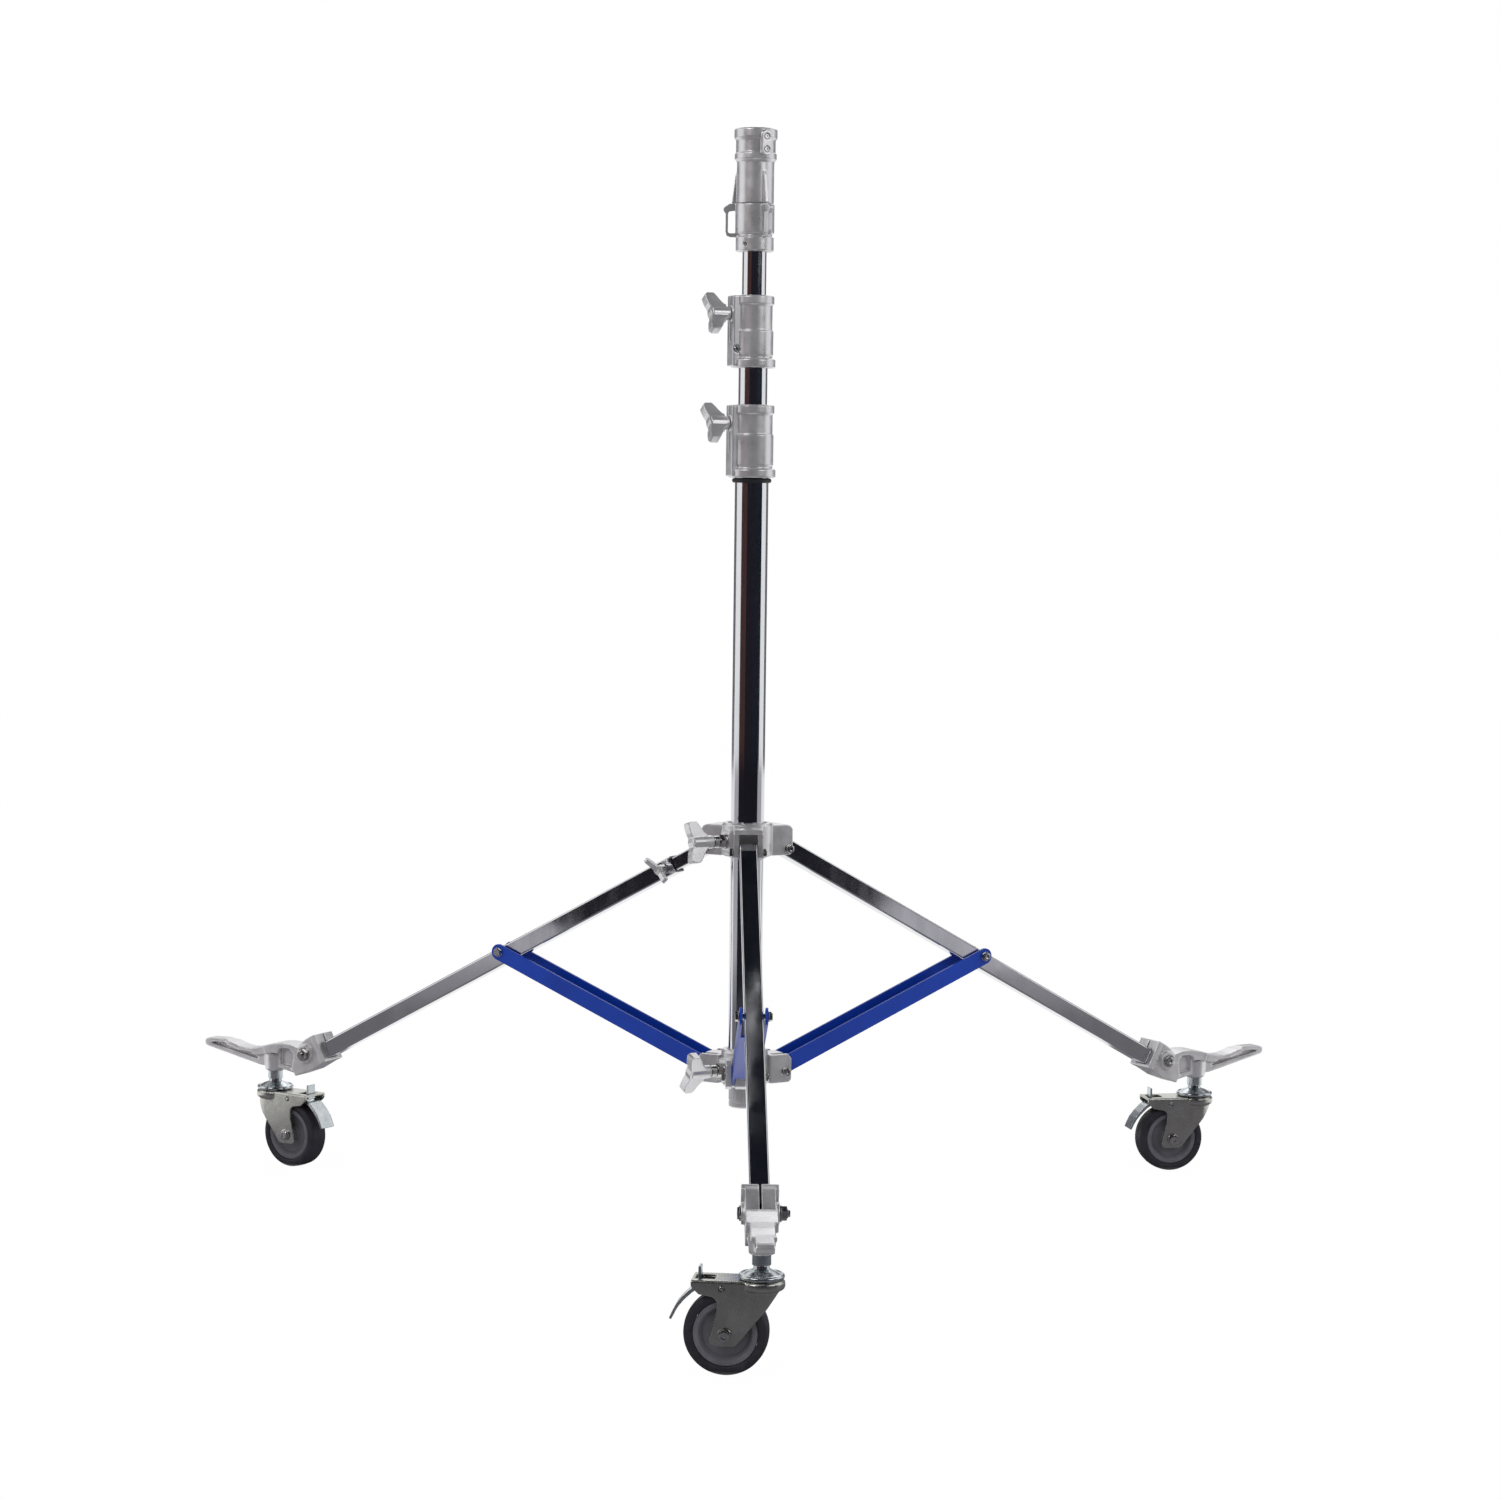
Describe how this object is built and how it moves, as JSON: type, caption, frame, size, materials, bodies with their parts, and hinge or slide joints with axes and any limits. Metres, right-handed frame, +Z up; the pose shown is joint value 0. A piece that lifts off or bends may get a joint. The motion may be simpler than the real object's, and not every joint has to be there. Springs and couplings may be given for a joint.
{
  "type": "light stand",
  "caption": "Rolling light stand with a folding three-leg base, blue braces, two clamped risers, a spigot receiver and braked swivel casters.",
  "frame": {"origin": "on the ground, under the middle of the stand's box", "axes": "+Z up along the mast, +X along the widest extent, -Y along the front leg"},
  "size_m": [1.2204, 1.057, 1.139],
  "materials": {
    "chrome": "polished chrome plate on steel tube",
    "cast_aluminium": "tumbled bare die casting",
    "blue_paint": "gloss blue powder coat",
    "zinc": "bright zinc plate on pressed steel",
    "steel": "plated bolts",
    "tyre": "smooth grey rubber tread",
    "wheel_plastic": "moulded grey plastic",
    "black_rubber": "moulded black rubber",
    "guide_plastic": "moulded black plastic"
  },
  "bodies": {
    "mast": {"mast_tube": "chrome", "mast_plug": "cast_aluminium", "mast_collar": "cast_aluminium", "mast_bumper_ring": "black_rubber", "lower_spider": "cast_aluminium", "lower_pivot_pin_front": "steel", "lower_pivot_pin_right": "steel", "lower_pivot_pin_left": "steel"},
    "lower_handle": {"lower_spider_handle": "cast_aluminium"},
    "mast_handle": {"mast_collar_handle": "cast_aluminium"},
    "riser_1": {"riser_1_tube": "chrome", "riser_1_guide": "guide_plastic", "riser_collar": "cast_aluminium"},
    "riser_handle": {"riser_collar_handle": "cast_aluminium"},
    "riser_2": {"riser_2_tube": "chrome", "riser_2_guide": "guide_plastic", "receiver_barrel": "cast_aluminium", "guy_collar": "cast_aluminium"},
    "brace_front": {"brace_front": "blue_paint"},
    "leg_front": {"leg_front": "chrome", "leg_front_pin": "steel", "foot_front": "cast_aluminium", "foot_front_bolt": "steel", "caster_front_stem": "zinc"},
    "upper_spider": {"upper_spider": "cast_aluminium", "upper_pivot_pin_front": "steel", "upper_pivot_pin_right": "steel", "upper_pivot_pin_left": "steel"},
    "upper_handle": {"upper_spider_handle": "cast_aluminium"},
    "leg_right": {"leg_right": "chrome", "leg_right_pin": "steel", "foot_right": "cast_aluminium", "foot_right_bolt": "steel", "caster_right_stem": "zinc"},
    "leg_left": {"leg_left": "chrome", "leg_left_stub": "chrome", "leg_left_pin": "steel", "foot_left": "cast_aluminium", "foot_left_bolt": "steel", "caster_left_stem": "zinc"},
    "wing_screw": {"wing_screw": "cast_aluminium"},
    "brace_right": {"brace_right": "blue_paint"},
    "brace_left": {"brace_left": "blue_paint"},
    "caster_front": {"caster_front_fork": "zinc", "caster_front_axle": "steel"},
    "wheel_front": {"caster_front_tyre": "tyre", "caster_front_hub": "wheel_plastic"},
    "pedal_front": {"caster_front_pedal": "zinc"},
    "caster_right": {"caster_right_fork": "zinc", "caster_right_axle": "steel"},
    "wheel_right": {"caster_right_tyre": "tyre", "caster_right_hub": "wheel_plastic"},
    "pedal_right": {"caster_right_pedal": "zinc"},
    "caster_left": {"caster_left_fork": "zinc", "caster_left_axle": "steel"},
    "wheel_left": {"caster_left_tyre": "tyre", "caster_left_hub": "wheel_plastic"},
    "pedal_left": {"caster_left_pedal": "zinc"}
  },
  "joints": [
    {"name": "riser_1_slide", "type": "slide", "parent": "mast", "child": "riser_1", "axis": [0, 0, 1], "range_m": [0, 0.56]},
    {"name": "riser_2_slide", "type": "slide", "parent": "riser_1", "child": "riser_2", "axis": [0, 0, 1], "range_m": [0, 0.6]},
    {"name": "base_fold", "type": "hinge", "parent": "mast", "child": "brace_front", "pos_m": [0, 0.13354, 0.161], "axis": [-1, 0, 0], "range_deg": [0, 46]},
    {"name": "leg_front_pivot", "type": "hinge", "parent": "brace_front", "child": "leg_front", "pos_m": [0, -0.12646, 0.266], "axis": [-1, 0, 0], "range_deg": [-88.29, 0.2]},
    {"name": "upper_spider_pivot", "type": "hinge", "parent": "leg_front", "child": "upper_spider", "pos_m": [0, 0.12954, 0.3955], "axis": [-1, 0, 0], "range_deg": [-0.2, 42.29]},
    {"name": "leg_right_pivot", "type": "hinge", "parent": "upper_spider", "child": "leg_right", "pos_m": [0.03637, 0.19254, 0.3955], "axis": [0.5, -0.866, 0], "range_deg": [-42.29, 0.2]},
    {"name": "brace_right_pivot", "type": "hinge", "parent": "leg_right", "child": "brace_right", "pos_m": [0.25808, 0.32054, 0.266], "axis": [0.5, -0.866, 0], "range_deg": [-0.2, 88.29]},
    {"name": "leg_left_pivot", "type": "hinge", "parent": "upper_spider", "child": "leg_left", "pos_m": [-0.03637, 0.19254, 0.3955], "axis": [0.5, 0.866, 0], "range_deg": [-42.29, 0.2]},
    {"name": "brace_left_pivot", "type": "hinge", "parent": "leg_left", "child": "brace_left", "pos_m": [-0.25808, 0.32054, 0.266], "axis": [0.5, 0.866, 0], "range_deg": [-0.2, 88.29]},
    {"name": "lower_handle_turn", "type": "hinge", "parent": "mast", "child": "lower_handle", "pos_m": [-0.02858, 0.15504, 0.1645], "axis": [-0.866, -0.5, 0], "range_deg": [0, 360]},
    {"name": "upper_handle_turn", "type": "hinge", "parent": "upper_spider", "child": "upper_handle", "pos_m": [-0.02858, 0.15504, 0.405], "axis": [-0.866, -0.5, 0], "range_deg": [0, 360]},
    {"name": "mast_handle_turn", "type": "hinge", "parent": "mast", "child": "mast_handle", "pos_m": [-0.02503, 0.16142, 0.838], "axis": [-0.9272, -0.3746, 0], "range_deg": [0, 360]},
    {"name": "riser_handle_turn", "type": "hinge", "parent": "riser_1", "child": "riser_handle", "pos_m": [-0.02503, 0.16142, 0.95], "axis": [-0.9272, -0.3746, 0], "range_deg": [0, 360]},
    {"name": "wing_screw_turn", "type": "hinge", "parent": "leg_left", "child": "wing_screw", "pos_m": [-0.0868, 0.21097, 0.36929], "axis": [-0.5, -0.866, 0], "range_deg": [0, 360]},
    {"name": "caster_front_swivel", "type": "hinge", "parent": "leg_front", "child": "caster_front", "pos_m": [0, -0.43446, 0.085], "axis": [0, 0, 1], "continuous": true},
    {"name": "caster_front_roll", "type": "hinge", "parent": "caster_front", "child": "wheel_front", "pos_m": [-0.02971, -0.43029, 0.0375], "axis": [-0.1392, -0.9903, 0], "continuous": true},
    {"name": "caster_front_brake", "type": "hinge", "parent": "caster_front", "child": "pedal_front", "pos_m": [-0.03268, -0.42987, 0.0784], "axis": [-0.1392, -0.9903, 0], "range_deg": [0, 8]},
    {"name": "caster_right_swivel", "type": "hinge", "parent": "leg_right", "child": "caster_right", "pos_m": [0.52481, 0.47454, 0.085], "axis": [0, 0, 1], "continuous": true},
    {"name": "caster_right_roll", "type": "hinge", "parent": "caster_right", "child": "wheel_right", "pos_m": [0.49527, 0.46933, 0.0375], "axis": [0.1736, -0.9848, 0], "continuous": true},
    {"name": "caster_right_brake", "type": "hinge", "parent": "caster_right", "child": "pedal_right", "pos_m": [0.49231, 0.46881, 0.0784], "axis": [0.1736, -0.9848, 0], "range_deg": [0, 8]},
    {"name": "caster_left_swivel", "type": "hinge", "parent": "leg_left", "child": "caster_left", "pos_m": [-0.52481, 0.47454, 0.085], "axis": [0, 0, 1], "continuous": true},
    {"name": "caster_left_roll", "type": "hinge", "parent": "caster_left", "child": "wheel_left", "pos_m": [-0.50054, 0.4569, 0.0375], "axis": [0.5878, 0.809, 0], "continuous": true},
    {"name": "caster_left_brake", "type": "hinge", "parent": "caster_left", "child": "pedal_left", "pos_m": [-0.49811, 0.45514, 0.0784], "axis": [0.5878, 0.809, 0], "range_deg": [0, 8]}
  ],
  "couplings": [
    {"joint": "leg_front_pivot", "follows": "base_fold", "ratio": -1.915},
    {"joint": "upper_spider_pivot", "follows": "base_fold", "ratio": 0.915},
    {"joint": "leg_right_pivot", "follows": "base_fold", "ratio": -0.915},
    {"joint": "brace_right_pivot", "follows": "base_fold", "ratio": 1.915},
    {"joint": "leg_left_pivot", "follows": "base_fold", "ratio": -0.915},
    {"joint": "brace_left_pivot", "follows": "base_fold", "ratio": 1.915}
  ]
}
